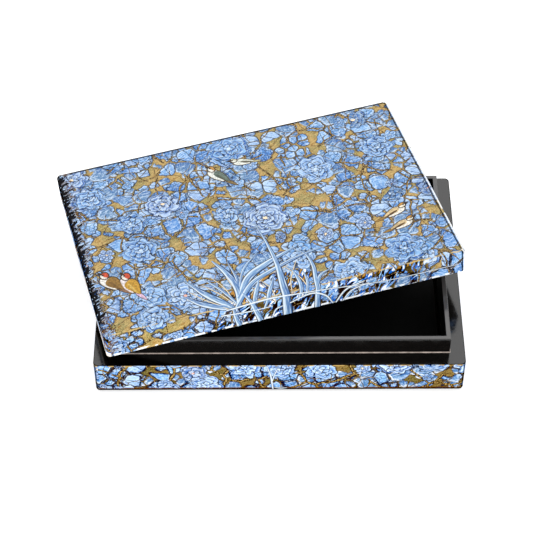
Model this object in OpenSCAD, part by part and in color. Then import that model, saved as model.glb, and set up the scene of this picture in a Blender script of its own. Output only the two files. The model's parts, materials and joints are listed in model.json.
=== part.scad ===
// Flat rectangular papier-mache box with a loose lift-off lid, in millimetres, +Z up.
// The origin is the centre of the underside, and the front of the box faces -Y.
// The lid lies askew on the base: its rim stands on the lip's left side, on the lip's back
// and, tipped down, on the ledge close to its back left corner.

/* [Box] */
// Outside width of the base and the lid, left to right
box_w = 254; // [190:1:330]
// Outside depth of the base and the lid, front to back
box_d = 174; // [130:1:240]
// Height of the base from the table to its ledge
base_h = 28.4; // [18:0.2:50]
// Radius of the upright corners
corner_r = 3; // [1:0.1:4]
// Radius of the edge around the lid's top and around the base's bottom
arris_r = 1.5; // [1:0.1:3]

/* [Boards] */
// Width of the ledge, from the outside of the box to the lip
ledge_w = 10.6; // [7:0.1:14]
// Thickness of the floor board
floor_t = 4; // [2.5:0.1:6]
// Thickness of the lid's top board
lid_top_t = 3; // [2.5:0.1:6]
// Thickness of each layer of paper, painted or plain
paper_t = 0.5; // [0.3:0.1:0.8]
// Width of the painted paper that is turned in under the base
turn_in = 5; // [3.5:0.5:12]

/* [Lip] */
// Thickness of the strips that form the lip
lip_t = 3.2; // [2:0.1:5]
// Height of the lip above the ledge
lip_h = 14.3; // [8:0.1:22]
// Radius of the lip's top edges
lip_edge_r = 0.5; // [0.3:0.1:1.4]

/* [Fit] */
// Gap between the lip and the lid's walls when the lid is on
lid_fit = 2.2; // [0.8:0.1:3]
// Headroom between the lip and the lid's ceiling when the lid is on
lid_headroom = 0.5; // [0.3:0.1:2]
// Gap around the lining papers
lining_gap = 0.3; // [0.2:0.1:1]

/* [Lid at rest] */
// Turn of the lid seen from above, in degrees
lid_yaw = 15.3; // [8:0.1:20]
// Distance from the lip's front left corner back to where the lid's left wall crosses the lip
front_seat = 17.5; // [10:0.5:40]
// Gap at each of the three points that the lid stands on
rest_gap = 0.3; // [0.2:0.05:0.5]
// Room in plan between the lip's back left corner and the lid's back wall, before the lid tips
lift_room = 1.2; // [1:0.1:2]

/* [Hidden] */
SIDES = ["front", "right", "back", "left"];
$fn = 64;

lacquer = "#141317";
paint = "#6c93c6";
pulp = "#8d7c60";

// How far a cutter runs past the face that it cuts
over = 1;

// Base: paper, floor board, then walls with the lip inside them
base_wall_t = ledge_w - paper_t;
floor_z = paper_t + floor_t;
lip_top_z = base_h + lip_h;
lip_w = box_w - 2 * ledge_w;
lip_d = box_d - 2 * ledge_w;
inside_w = lip_w - 2 * lip_t;
inside_d = lip_d - 2 * lip_t;
lip_round = min(lip_edge_r, lip_t / 2);

// Lid, in its own frame: its rim lies at z = 0 under the middle of its top
lid_rim_w = ledge_w - lid_fit;
lid_wall_t = lid_rim_w - paper_t;
lid_in_w = box_w - 2 * lid_rim_w;
lid_in_d = box_d - 2 * lid_rim_w;
cavity = lip_h + lid_headroom;
lid_wall_h = cavity + paper_t;
lid_h = lid_wall_h + lid_top_t + paper_t;

// Lid at rest. Its rim lies on three seats: its left wall's inner edge on the lip's left side,
// its right wall's inner edge on the lip's back, and its back edge on the left edge of the ledge.
back_seat = (ledge_w * (sin(lid_yaw) + cos(lid_yaw) - 1) + lid_fit - lift_room) / cos(lid_yaw);
seat_left = [-lip_w / 2, front_seat - lip_d / 2, lip_top_z];
seat_ledge = [-box_w / 2, box_d / 2 - back_seat, base_h];
ledge_x = turned_z(seat_ledge - seat_left, -lid_yaw).x - lid_in_w / 2;
lid_mid = seat_ledge - turned_z([ledge_x, box_d / 2, 0], lid_yaw);
right_y = (lip_d / 2 - lid_mid.y - lid_in_w / 2 * sin(lid_yaw)) / cos(lid_yaw);
right_x = lid_mid.x + turned_z([lid_in_w / 2, right_y, 0], lid_yaw).x;
seat_right = [right_x, lip_d / 2, lip_top_z];
rim_normal = cross(seat_right - seat_left, seat_ledge - seat_left);
lid_up = turned_z(rim_normal / norm(rim_normal), -lid_yaw);
lid_roll = asin(lid_up.x);
lid_pitch = -atan2(lid_up.y, lid_up.z);
rim_rise = rim_normal * (seat_ledge - lid_mid) / rim_normal.z;
lid_place = lid_mid + [0, 0, rim_rise + rest_gap];

// A vector turned about Z
function turned_z(v, a) = [v.x * cos(a) - v.y * sin(a), v.x * sin(a) + v.y * cos(a), v.z];

// Puts what is drawn in the lid's own frame where the lid lies
module lid_at_rest() {
    translate(lid_place)
        rotate([0, 0, lid_yaw])
            rotate([lid_pitch, 0, 0])
                rotate([0, lid_roll, 0])
                    children();
}

// Rectangle with four round corners
module round_rect(w, d, r) {
    square([w - 2 * r, d], center = true);
    square([w, d - 2 * r], center = true);
    for (x = [-1, 1], y = [-1, 1])
        translate([x * (w / 2 - r), y * (d / 2 - r)])
            circle(r);
}

// Section that stands on y = 0 between x = 0 and x = w, with its two top corners round
module round_top(w, h, r) {
    square([w, h - r]);
    translate([r, 0])
        square([w - 2 * r, h]);
    for (x = [r, w - r])
        translate([x, h - r])
            circle(r);
}

// Block on z = 0 with round upright corners and a round edge along its top
module soft_block(w, d, h, upright_r, top_r) {
    intersection() {
        linear_extrude(h)
            round_rect(w, d, upright_r);
        rotate([90, 0, 0])
            linear_extrude(d, center = true)
                translate([-w / 2, 0])
                    round_top(w, h, top_r);
        rotate([90, 0, 90])
            linear_extrude(w, center = true)
                translate([-d / 2, 0])
                    round_top(d, h, top_r);
    }
}

// The base's block, drawn in from the outside by inset, with its round edge at the bottom
module base_block(inset, low, high, upright_r, bottom_r) {
    translate([0, 0, high])
        mirror([0, 0, 1])
            soft_block(box_w - 2 * inset, box_d - 2 * inset, high - low, upright_r, bottom_r);
}

// The lid's block in the lid's own frame, drawn in from the outside by inset
module lid_block(inset, low, upright_r, top_r) {
    translate([0, 0, low])
        soft_block(box_w - 2 * inset, box_d - 2 * inset, lid_h - inset - low, upright_r, top_r);
}

// What the base's boards fill, inside the painted paper
module base_core() {
    base_block(paper_t, paper_t, base_h, corner_r, arris_r);
}

// What the lid's boards fill, inside the painted paper
module lid_core() {
    lid_block(paper_t, 0, corner_r, arris_r);
}

// Flat sheet on the middle of the frame that it is drawn in
module sheet(w, d, t, z) {
    translate([-w / 2, -d / 2, z])
        cube([w, d, t]);
}

// One mitred side of a rectangular frame, w by d outside: 0 front, 1 right, 2 back, 3 left.
// The child is the side's section, with x inwards from the outside, up to depth, and y upwards.
module frame_side(side, w, d, depth, high) {
    run = side % 2 == 0 ? w : d;
    across = side % 2 == 0 ? d : w;
    rotate([0, 0, 90 * side])
        translate([0, -across / 2, 0])
            intersection() {
                rotate([90, 0, 90])
                    linear_extrude(run, center = true)
                        children();
                linear_extrude(high)
                    polygon([[-run / 2, 0], [run / 2, 0], [run / 2 - depth, depth], [depth - run / 2, depth]]);
            }
}

// Plain black paper under the base
module base_underside() {
    color(lacquer)
        sheet(box_w - 2 * turn_in, box_d - 2 * turn_in, paper_t, 0);
}

// Floor board, which the base's walls stand on
module base_floor() {
    color(pulp)
        intersection() {
            base_core();
            sheet(box_w, box_d, floor_t, paper_t);
        }
}

// Black lining paper on the floor, inside the lip
module floor_lining() {
    color(lacquer)
        sheet(inside_w - 2 * lining_gap, inside_d - 2 * lining_gap, paper_t, floor_z);
}

// Painted paper around the base, turned in under it
module base_skin() {
    color(paint)
        difference() {
            base_block(0, 0, base_h, corner_r, arris_r);
            base_block(paper_t, paper_t, base_h + over, corner_r - paper_t, arris_r - paper_t);
            sheet(box_w - 2 * turn_in, box_d - 2 * turn_in, paper_t + 2 * over, -over);
        }
}

// One wall of the base, whose top is the ledge
module base_wall(side) {
    color(lacquer)
        intersection() {
            base_core();
            frame_side(side, box_w - 2 * paper_t, box_d - 2 * paper_t, base_wall_t, base_h)
                translate([0, floor_z])
                    square([base_wall_t, base_h - floor_z]);
        }
}

// One strip of the lip, from the floor board up past the ledge
module lip(side) {
    color(lacquer)
        frame_side(side, lip_w, lip_d, lip_t, lip_top_z)
            translate([0, floor_z])
                round_top(lip_t, lip_top_z - floor_z, lip_round);
}

// Top board of the lid
module lid_top() {
    color(pulp)
        lid_at_rest()
            intersection() {
                lid_core();
                sheet(box_w, box_d, lid_top_t, lid_wall_h);
            }
}

// Black lining paper under the lid's top board, between its walls
module lid_lining() {
    color(lacquer)
        lid_at_rest()
            sheet(lid_in_w - 2 * lining_gap, lid_in_d - 2 * lining_gap, paper_t, cavity);
}

// Painted paper over the lid's top and around its walls
module lid_skin() {
    color(paint)
        lid_at_rest()
            difference() {
                lid_block(0, 0, corner_r, arris_r);
                lid_block(paper_t, -over, corner_r - paper_t, arris_r - paper_t);
            }
}

// One wall of the lid
module lid_wall(side) {
    color(lacquer)
        lid_at_rest()
            intersection() {
                lid_core();
                frame_side(side, box_w - 2 * paper_t, box_d - 2 * paper_t, lid_wall_t, lid_wall_h)
                    square([lid_wall_t, lid_wall_h]);
            }
}

base_underside();
base_floor();
floor_lining();
base_skin();
for (side = [0:3]) {
    base_wall(side);
    lip(side);
    lid_wall(side);
}
lid_top();
lid_lining();
lid_skin();
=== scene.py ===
"""Looks of a papier-mache box: black lacquer inside, blue flowers painted on gold outside.

All lengths are metres. The lid lies askew on the base, so what belongs to it is made in the
lid's own frame: its origin is the middle of the rim, x runs right, y back and z out of its top.
"""

import json
import math

import bmesh
import bpy
from mathutils import Matrix, Vector, noise


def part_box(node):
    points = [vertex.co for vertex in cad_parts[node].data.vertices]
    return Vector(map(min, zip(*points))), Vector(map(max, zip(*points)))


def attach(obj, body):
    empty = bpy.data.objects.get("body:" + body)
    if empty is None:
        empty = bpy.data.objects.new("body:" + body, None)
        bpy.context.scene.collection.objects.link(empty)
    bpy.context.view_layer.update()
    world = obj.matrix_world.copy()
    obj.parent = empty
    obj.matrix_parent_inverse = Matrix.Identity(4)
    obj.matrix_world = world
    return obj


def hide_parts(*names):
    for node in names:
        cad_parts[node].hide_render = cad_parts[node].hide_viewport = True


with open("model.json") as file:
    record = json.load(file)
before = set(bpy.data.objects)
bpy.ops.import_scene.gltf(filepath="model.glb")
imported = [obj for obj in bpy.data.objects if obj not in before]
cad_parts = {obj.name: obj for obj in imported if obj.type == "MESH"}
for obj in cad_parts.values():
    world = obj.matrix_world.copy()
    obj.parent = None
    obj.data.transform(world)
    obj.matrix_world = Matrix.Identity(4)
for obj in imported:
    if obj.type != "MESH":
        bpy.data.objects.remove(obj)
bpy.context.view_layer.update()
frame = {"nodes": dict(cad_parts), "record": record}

MM = 0.001
FULL_TURN = 2 * math.pi
QUARTER_TURN = math.pi / 2

# Sizes of the paper, as the solids have them
PAPER = 0.5 * MM
CORNER_R = 3 * MM
ARRIS_R = 1.5 * MM
TURN_IN = 5 * MM

# Camera of the photograph: where it is, how far it looks down and rolls, its lens and sensor in mm, and
# the nearest and farthest that it sees
CAMERA_PLACE = Vector((-8.6, -820.8, 990.7)) * MM
CAMERA_DOWN = math.radians(49.49)
CAMERA_ROLL = math.radians(-0.24)
CAMERA_LENS = 120.02
CAMERA_SENSOR = 36
CAMERA_SIGHT = (0.05, 20)

# How the lid is turned, roughly, and how closely a face's normal has to follow a guess
LID_TURN = math.radians(15)
SAME_WAY = 0.95


def linear(red, green, blue):
    """A shader colour from an sRGB colour of 0 to 255."""
    colour = []
    for value in (red, green, blue):
        share = value / 255
        colour.append(share / 12.92 if share <= 0.04045 else ((share + 0.055) / 1.055) ** 2.4)
    return (*colour, 1)


# Paints
GOLD = linear(186, 157, 102)
GOLD_PALE = linear(208, 182, 122)
OLIVE = linear(148, 140, 94)
UMBER = linear(62, 44, 20)
EARTH = linear(88, 58, 26)
SIENNA = linear(104, 70, 40)
TAN = linear(152, 112, 56)
EMBER = linear(190, 138, 64)
INK = linear(14, 20, 40)
NIGHT = linear(8, 8, 12)
SKY = linear(140, 184, 228)
CORNFLOWER = linear(88, 141, 205)
AZURE = linear(40, 104, 196)
ROYAL = linear(44, 90, 164)
SLATE = linear(98, 134, 170)
FROST = linear(200, 220, 242)
CHALK = linear(244, 248, 252)
CREAM = linear(244, 222, 186)
BLUSH = linear(226, 176, 158)
LILAC = linear(208, 208, 242)
WHITE = (1, 1, 1, 1)


def lid_frame():
    """The lid's own frame as a matrix, and its width, depth and height, from its painted paper."""
    mesh = frame["nodes"]["lid_skin"].data

    def mean_normal(guess):
        total = Vector()
        for face in mesh.polygons:
            if face.normal.dot(guess) > SAME_WAY:
                total += face.normal * face.area
        return total.normalized()

    up = mean_normal(mean_normal(Vector((0, 0, 1))))
    front = mean_normal(mean_normal(Vector((math.sin(LID_TURN), -math.cos(LID_TURN), 0))))
    back = (-front - up * up.dot(-front)).normalized()
    axes = (back.cross(up), back, up)
    spans = []
    for axis in axes:
        along = [axis.dot(vertex.co) for vertex in mesh.vertices]
        spans.append((min(along), max(along)))
    middle = [(low + high) / 2 for low, high in spans[:2]] + [spans[2][0]]
    origin = sum((axis * place for axis, place in zip(axes, middle)), Vector())
    turn = Matrix(axes).transposed().to_4x4()
    return Matrix.Translation(origin) @ turn, tuple(high - low for low, high in spans)


LID, (LID_W, LID_D, LID_H) = lid_frame()
BASE_LOW, BASE_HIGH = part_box("base_skin")
BASE_W = BASE_HIGH.x - BASE_LOW.x
BASE_D = BASE_HIGH.y - BASE_LOW.y
BASE_H = BASE_HIGH.z - BASE_LOW.z
LIP_LOW = Vector((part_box("lip_left")[0].x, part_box("lip_front")[0].y, BASE_H))
LIP_HIGH = Vector((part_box("lip_right")[1].x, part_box("lip_back")[1].y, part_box("lip_front")[1].z))
INSIDE_LOW = Vector((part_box("lip_left")[1].x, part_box("lip_front")[1].y, 0))
INSIDE_HIGH = Vector((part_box("lip_right")[0].x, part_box("lip_back")[0].y, 0))
FLOOR_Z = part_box("floor_lining")[1].z


class Value:
    """A node's output. Arithmetic on it adds Math nodes, and [name] is another output of its node."""

    def __init__(self, graph, socket):
        self.graph = graph
        self.socket = socket

    def __getitem__(self, name):
        return Value(self.graph, self.socket.node.outputs[name])

    def __add__(self, other):
        return self.graph.math("ADD", self, other)

    def __radd__(self, other):
        return self.graph.math("ADD", other, self)

    def __sub__(self, other):
        return self.graph.math("SUBTRACT", self, other)

    def __rsub__(self, other):
        return self.graph.math("SUBTRACT", other, self)

    def __mul__(self, other):
        return self.graph.math("MULTIPLY", self, other)

    def __truediv__(self, other):
        return self.graph.math("DIVIDE", self, other)

    def __pow__(self, power):
        return self.graph.math("POWER", self, power)

    def __abs__(self):
        return self.graph.math("ABSOLUTE", self)

    def __neg__(self):
        return self.graph.math("MULTIPLY", self, -1)

    def whole(self):
        return self.graph.math("FLOOR", self)

    def fraction(self):
        return self.graph.math("FRACT", self)

    def least(self, other):
        return self.graph.math("MINIMUM", self, other)

    def most(self, other):
        return self.graph.math("MAXIMUM", self, other)

    def below(self, limit):
        """1 where the value lies below a limit, and 0 elsewhere."""
        return self.graph.math("LESS_THAN", self, limit)

    def step(self, low, high, bottom=0.0, top=1.0):
        """Smooth way from bottom to top as the value goes from low to high. High may lie below low."""
        if high < low:
            low, high, bottom, top = high, low, top, bottom
        return self.graph.node("MapRange", {"interpolation_type": "SMOOTHSTEP"}, Value=self,
                               From_Min=low, From_Max=high, To_Min=bottom, To_Max=top)

    def painted(self, share, paint):
        """The colour, painted over by a share of 0 to 1."""
        return self.graph.mix(share, self, paint)


class Graph:
    """Short ways to add nodes to a node tree. Inputs take a number, a tuple or a Value."""

    # First input, second input and output of a Mix node, by its data type
    MIX_SOCKETS = {"VECTOR": (4, 5, 1), "RGBA": (6, 7, 2)}

    def __init__(self, tree):
        self.tree = tree

    def feed(self, socket, value):
        if isinstance(value, Value):
            self.tree.links.new(value.socket, socket)
        else:
            socket.default_value = value

    def fill(self, node, **values):
        """Feeds a node's inputs by name, where an underscore stands for a space."""
        for name, value in values.items():
            self.feed(node.inputs[name.replace("_", " ")], value)

    def node(self, kind, settings=None, **values):
        """The first output of a new node."""
        made = self.tree.nodes.new("ShaderNode" + kind)
        for name, setting in (settings or {}).items():
            setattr(made, name, setting)
        self.fill(made, **values)
        return Value(self, made.outputs[0])

    def math(self, operation, *values, kind="Math"):
        made = self.tree.nodes.new("ShaderNode" + kind)
        made.operation = operation
        for socket, value in zip(made.inputs, values):
            self.feed(socket, value)
        return Value(self, made.outputs[0])

    def vector(self, operation, *values):
        return self.math(operation, *values, kind="VectorMath")

    def scaled(self, vector, factor):
        return self.node("VectorMath", {"operation": "SCALE"}, Vector=vector, Scale=factor)

    def shifted(self, vector, x, y):
        return self.vector("ADD", vector, (x, y, 0))

    def length(self, vector):
        return self.vector("LENGTH", vector)["Value"]

    def split(self, vector):
        made = self.node("SeparateXYZ", Vector=vector)
        return [made[axis] for axis in "XYZ"]

    def mix(self, share, first, second, kind="RGBA"):
        """From the first colour or vector to the second, by a share of 0 to 1."""
        first_input, second_input, output = self.MIX_SOCKETS[kind]
        made = self.tree.nodes.new("ShaderNodeMix")
        made.data_type = kind
        self.feed(made.inputs[0], share)
        self.feed(made.inputs[first_input], first)
        self.feed(made.inputs[second_input], second)
        return Value(self, made.outputs[output])

    def noise(self, vector, size, detail=2.0, rough=0.5):
        """Noise whose lumps are about this size."""
        return self.node("TexNoise", Vector=vector, Scale=1 / size, Detail=detail, Roughness=rough)

    def brushed(self, vector, lean, length, width, detail=2.0, rough=0.5):
        """Noise drawn out into strokes of this length and width, which lean by some degrees."""
        turned = self.node("VectorRotate", {"rotation_type": "Z_AXIS"}, Vector=vector,
                           Angle=math.radians(lean))
        drawn_out = self.vector("MULTIPLY", turned, (1 / length, 1 / width, 0))
        return self.noise(drawn_out, 1, detail, rough)

    def cells(self, vector, size, uneven=1.0, feature="F1"):
        """Flat cells of about this size."""
        settings = {"voronoi_dimensions": "2D", "feature": feature}
        return self.node("TexVoronoi", settings, Vector=vector, Scale=1 / size, Randomness=uneven)

    def cell_edge(self, vector, size, uneven=1.0):
        """How far each point lies from the edge of its cell."""
        return self.cells(vector, size, uneven, "DISTANCE_TO_EDGE")

    def wander(self, vector, size, reach):
        """The vector moved to and fro by noise."""
        stray = self.vector("SUBTRACT", self.noise(vector, size, detail=1)["Color"], (0.5, 0.5, 0.5))
        return self.vector("ADD", vector, self.scaled(stray, 2 * reach))

    def paint_map(self):
        return self.node("UVMap", {"uv_map": "Paint"})

    def object_place(self):
        return self.node("TexCoord")["Object"]

    def bump(self, height, strength, depth):
        return self.node("Bump", Strength=strength, Distance=depth, Height=height)


class MaterialGraph(Graph):
    """The graph of a new material with a Principled shader."""

    def __init__(self, name):
        self.material = bpy.data.materials.new(name)
        self.material.use_nodes = True
        super().__init__(self.material.node_tree)

    def finish(self, **values):
        """Feeds the shader and returns the material."""
        self.fill(self.tree.nodes["Principled BSDF"], **values)
        return self.material


def marked(colour, mark, high, low, where=None):
    """A colour with marks of two paints over it, one where a noise is high and one where it is low.

    Each is given as paint, noise where it begins, noise where it is full, and strength.
    """
    for paint, begin, full, strength in (high, low):
        share = mark.step(begin, full, 0, strength)
        if where is not None:
            share = share * where
        colour = colour.painted(share, paint)
    return colour


# Width of the soft edge of what is painted, to each side
SOFT_EDGE = 0.04 * MM


def mask_of(shape):
    """1 inside a shape and 0 outside, from the distance inside it."""
    return shape.step(-SOFT_EDGE, SOFT_EDGE)


def new_group(name, inputs, outputs):
    """An empty node group with these sockets: its graph, what it is given, and its output node."""
    tree = bpy.data.node_groups.new(name, "ShaderNodeTree")
    for in_out, sockets in (("INPUT", inputs), ("OUTPUT", outputs)):
        for label, kind in sockets.items():
            tree.interface.new_socket(name=label, in_out=in_out, socket_type="NodeSocket" + kind)
    graph = Graph(tree)
    given = Value(graph, tree.nodes.new("NodeGroupInput").outputs[0])
    return graph, given, tree.nodes.new("NodeGroupOutput")


RING_INPUTS = {"Place": "Vector", "Radius": "Float", "Petals": "Float", "Turn": "Float", "Seed": "Float"}
RING_OUTPUTS = dict.fromkeys(("Within", "Depth", "Line", "Rim", "Brush"), "Float")
FLOWER_INPUTS = {**RING_INPUTS, "Light": "Color", "Deep": "Color", "Middle": "Color"}
FLOWER_OUTPUTS = {"Color": "Color", "Inside": "Float", "Height": "Float"}


def flower_place(graph, given):
    """Distance from a flower's middle, and turns around it, counted from the flower's own turn."""
    x, y, _ = graph.split(given["Place"])
    far = graph.length(given["Place"])
    angle = graph.math("ARCTAN2", y, x) / FULL_TURN
    return far, angle + given["Turn"]


def make_petal_ring():
    """Node group: one ring of round petals. Place is measured from the flower's middle."""
    graph, given, result = new_group("petal_ring", RING_INPUTS, RING_OUTPUTS)
    far, angle = flower_place(graph, given)
    round_count = angle * given["Petals"]
    across = round_count.fraction() - 0.5
    side = abs(across)
    dip = (side * 2) ** 2.4 * 0.26
    reach = given["Radius"] * (1 - dip)
    within = reach - far
    petal_wide = far * FULL_TURN / given["Petals"]
    to_side = (0.5 - side) * petal_wide
    depth = far / reach
    seam = to_side.step(0.36 * MM, 0.14 * MM)
    outline = within.step(0.42 * MM, 0.2 * MM)
    rim = within.least(to_side).step(0.95 * MM, 0.4 * MM)
    petal = round_count.whole()
    streak_place = graph.node("CombineXYZ", X=across * 3.2, Y=depth * 1.1, Z=petal * 7.3 + given["Seed"])
    brush = graph.noise(streak_place, 1 / 2.1, rough=0.6)
    graph.fill(result, Within=within, Depth=depth, Line=seam.most(outline), Rim=rim, Brush=brush)
    return graph.tree


def make_rosette(petal_ring):
    """Node group: a flower of three even rings of petals around a middle."""
    graph, given, result = new_group("rosette", FLOWER_INPUTS, FLOWER_OUTPUTS)
    ring_step = 0.06 * MM

    def ring(share, turn):
        return graph.node("Group", {"node_tree": petal_ring}, Place=given["Place"],
                          Radius=given["Radius"] * share, Petals=given["Petals"],
                          Turn=given["Turn"] + turn, Seed=given["Seed"])

    def petals(made, shade_below):
        colour = graph.mix(made["Depth"].step(0.3, 1.0), given["Deep"], given["Light"])
        colour = marked(colour, made["Brush"], (FROST, 0.52, 0.68, 0.5), (given["Deep"], 0.44, 0.3, 0.8))
        colour = colour.painted(made["Rim"] * 0.4, FROST)
        colour = colour.painted(shade_below * 0.6, given["Deep"])
        return colour.painted(made["Line"] * 0.9, INK)

    outer = ring(share=1.0, turn=0.0)
    middle = ring(share=0.67, turn=0.137)
    inner = ring(share=0.38, turn=0.061)
    colour = petals(outer, middle["Within"].step(-1.5 * MM, 0))
    colour = colour.painted(middle["Within"].step(0, ring_step),
                            petals(middle, inner["Within"].step(-1.2 * MM, 0)))
    colour = colour.painted(inner["Within"].step(0, ring_step), petals(inner, 0.0))
    eye = given["Radius"] * 0.13 - graph.length(given["Place"])
    colour = colour.painted(eye.step(-0.35 * MM, -0.15 * MM), INK)
    colour = colour.painted(eye.step(-0.1 * MM, 0.1 * MM), given["Middle"])
    rises = [made["Within"].step(0, 0.4 * MM, 0, 0.33) for made in (outer, middle, inner)]
    graph.fill(result, Color=colour, Inside=outer["Within"], Height=rises[0] + rises[1] + rises[2])
    return graph.tree


def make_peony():
    """Node group: a full, ragged flower whose petals overlap like scales around its middle."""
    graph, given, result = new_group("peony", FLOWER_INPUTS, FLOWER_OUTPUTS)
    scale_uneven = 0.85
    rows = given["Radius"] / (3.2 * MM)
    far, angle = flower_place(graph, given)
    heading = graph.vector("NORMALIZE", given["Place"])
    seeded = graph.vector("ADD", graph.scaled(heading, 1.2), graph.node("CombineXYZ", Z=given["Seed"]))
    ragged = graph.noise(seeded, 1 / 1.6)
    lobe = abs((angle * given["Petals"]).fraction() - 0.5)
    dip = (lobe * 2) ** 2.2 * 0.2
    reach = given["Radius"] * (0.66 + ragged * 0.6 - dip)
    depth = far / reach
    within = reach - far
    spread = graph.node("CombineXYZ", X=angle * given["Petals"],
                        Y=depth * rows + (angle + given["Seed"]))
    cell = graph.cells(spread, 1, scale_uneven)
    edge = graph.cell_edge(spread, 1, scale_uneven)
    outward = graph.split(graph.vector("SUBTRACT", spread, cell["Position"]))[1]
    tone, brush, _ = graph.split(cell["Color"])
    row_high = reach / rows
    petal_wide = far * FULL_TURN / given["Petals"]
    to_edge = edge * graph.math("SQRT", row_high * petal_wide)
    colour = graph.mix(outward.step(-0.5, 0.45), given["Deep"], given["Light"])
    colour = colour.painted(tone * 0.4, given["Light"])
    tips = to_edge.step(0.9 * MM, 0.35 * MM) * outward.step(-0.1, 0.35)
    colour = colour.painted(tips * 0.62, graph.mix(tone, FROST, CHALK))
    streak = graph.noise(graph.vector("MULTIPLY", spread, (3.0, 0.8, 1)), 1 / 1.8)
    colour = marked(colour, streak, (FROST, 0.56, 0.7, 0.6), (ROYAL, 0.42, 0.32, 0.6))
    drawn = to_edge.step(0.5 * MM, 0.24 * MM) * brush.step(0.1, 0.4, 0.35, 1)
    outline = within.step(0.5 * MM, 0.26 * MM) * ragged.step(0.42, 0.54, 0.35, 1)
    colour = colour.painted(drawn.most(outline) * 0.9, INK)
    eye = given["Radius"] * 0.1 - far
    colour = colour.painted(eye.step(-0.1 * MM, 0.15 * MM), given["Middle"])
    graph.fill(result, Color=colour, Inside=within, Height=to_edge.step(0.05 * MM, 0.8 * MM))
    return graph.tree


ROSETTE = make_rosette(make_petal_ring())
PEONY = make_peony()


def ground_paint(graph, spot, dusk):
    """Gold ground with olive clouds and brushed flecks. Dusk darkens it."""
    cloud = graph.noise(spot, 16 * MM, detail=3)
    fleck = graph.noise(spot, 0.9 * MM, rough=0.7)
    colour = graph.mix(cloud.step(0.42, 0.62), GOLD, OLIVE)
    stain = graph.brushed(spot, lean=-25, length=6 * MM, width=1.8 * MM, detail=3, rough=0.6)
    colour = marked(colour, stain, (TAN, 0.52, 0.66, 0.85), (GOLD_PALE, 0.45, 0.33, 0.75))
    colour = marked(colour, fleck, (GOLD_PALE, 0.52, 0.66, 0.8), (UMBER, 0.47, 0.34, 0.7))
    return colour.painted(dusk * 0.95, NIGHT)


def leaf_shape(graph, wavy, edge, place, tint, size):
    """How far inside its leaf each point lies. Leaves of a high tint are ragged."""
    far = graph.length(place)
    gap = edge * size - tint * (0.5 * MM)
    reach = (0.6 + tint * 0.3) * size
    within = graph.math("SMOOTH_MIN", gap, reach - far, 0.3 * size)
    notch = abs(graph.noise(wavy, 2.0 * MM, detail=1) - 0.5)
    return within - notch * (5 * MM) * tint.step(0.4, 0.6)


def leaf_tones(graph, wavy, place, kinds, plain, size, shift):
    """Colour of the leaves, as brushed along them, and the places along and beside their ribs."""
    chance, tint, slant = kinds
    lean = slant * FULL_TURN
    x, y, _ = graph.split(graph.scaled(place, 1 / size))
    along = x * graph.math("COSINE", lean) + y * graph.math("SINE", lean)
    aside = y * graph.math("COSINE", lean) - x * graph.math("SINE", lean)
    colour = graph.mix(tint, SKY, CORNFLOWER)
    colour = colour.painted(slant.step(0.84, 0.86, 0, 0.5), FROST)
    colour = colour.painted(plain, SLATE)
    colour = colour.painted(along.step(-0.1, 0.6, 0, 0.4), ROYAL)
    bristle_place = graph.node("CombineXYZ", X=aside * (size / (0.9 * MM)), Y=along * (size / (7 * MM)),
                               Z=chance * 60)
    bristle = graph.noise(bristle_place, 1)
    colour = marked(colour, bristle, (FROST, 0.52, 0.68, 0.55), (ROYAL, 0.48, 0.34, 0.5))
    speckle = graph.noise(graph.shifted(wavy, shift, 0), 1.0 * MM, detail=3, rough=0.65)
    colour = marked(colour, speckle, (FROST, 0.53, 0.66, 0.5), (ROYAL, 0.47, 0.34, 0.5))
    return colour, along, aside


def leaf_paint(graph, spot, below, bold, thin, size, keep, shift):
    """Leaves side by side over the colour below: flat toned, inked, some ragged and some veined.

    Leaves past keep are left out, more of them where thin is high, and bold gives them white edges.
    """
    wavy = graph.wander(graph.shifted(spot, shift, -shift), 4 * MM, 1.1 * MM)
    cell = graph.cells(wavy, size)
    edge = graph.cell_edge(wavy, size)
    chance, tint, slant = graph.split(cell["Color"])
    place = graph.vector("SUBTRACT", wavy, cell["Position"])
    shape = leaf_shape(graph, wavy, edge, place, tint, size)
    crowd = (graph.noise(cell["Position"], 24 * MM) - 0.5) * 0.55
    there = (chance + crowd + thin * 0.4).below(keep)
    plain = slant.step(0.3, 0.28)
    colour, along, aside = leaf_tones(graph, wavy, place, (chance, tint, slant), plain, size, shift)
    brush = graph.noise(graph.shifted(wavy, 0.05, 0), 2.4 * MM, detail=3, rough=0.6)
    edging = shape.step(1.8 * MM, 0.9 * MM) * along.step(0.12, -0.2) * brush.step(0.36, 0.5)
    white = graph.mix(bold, FROST, CHALK)
    colour = colour.painted(edging * 0.9, white)
    vein_edge = graph.cell_edge(wavy, 3.8 * MM)
    veined = slant.step(0.42, 0.44) * slant.step(0.74, 0.72)
    crackle = vein_edge.step(0.085, 0.045) * veined
    rib = abs(aside).step(0.045, 0.02) * slant.step(0.74, 0.76)
    colour = colour.painted(crackle.most(rib) * 0.7, INK)
    inked = shape - bold * (0.45 * MM)
    drawn = inked.step(0.7 * MM, 0.42 * MM) * plain.step(0.2, 0.6, 0.94, 0.3)
    colour = colour.painted(drawn * brush.step(0.3, 0.5, 0.55, 1), INK)
    shade = graph.math("MULTIPLY_ADD", bold, 0.4, 0.5)
    cast = shape.step(-1.0 * MM, -0.05 * MM) * (shade * there)
    below = below.painted(cast, UMBER)
    mask = mask_of(shape) * there
    return below.painted(mask, colour), mask


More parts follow.
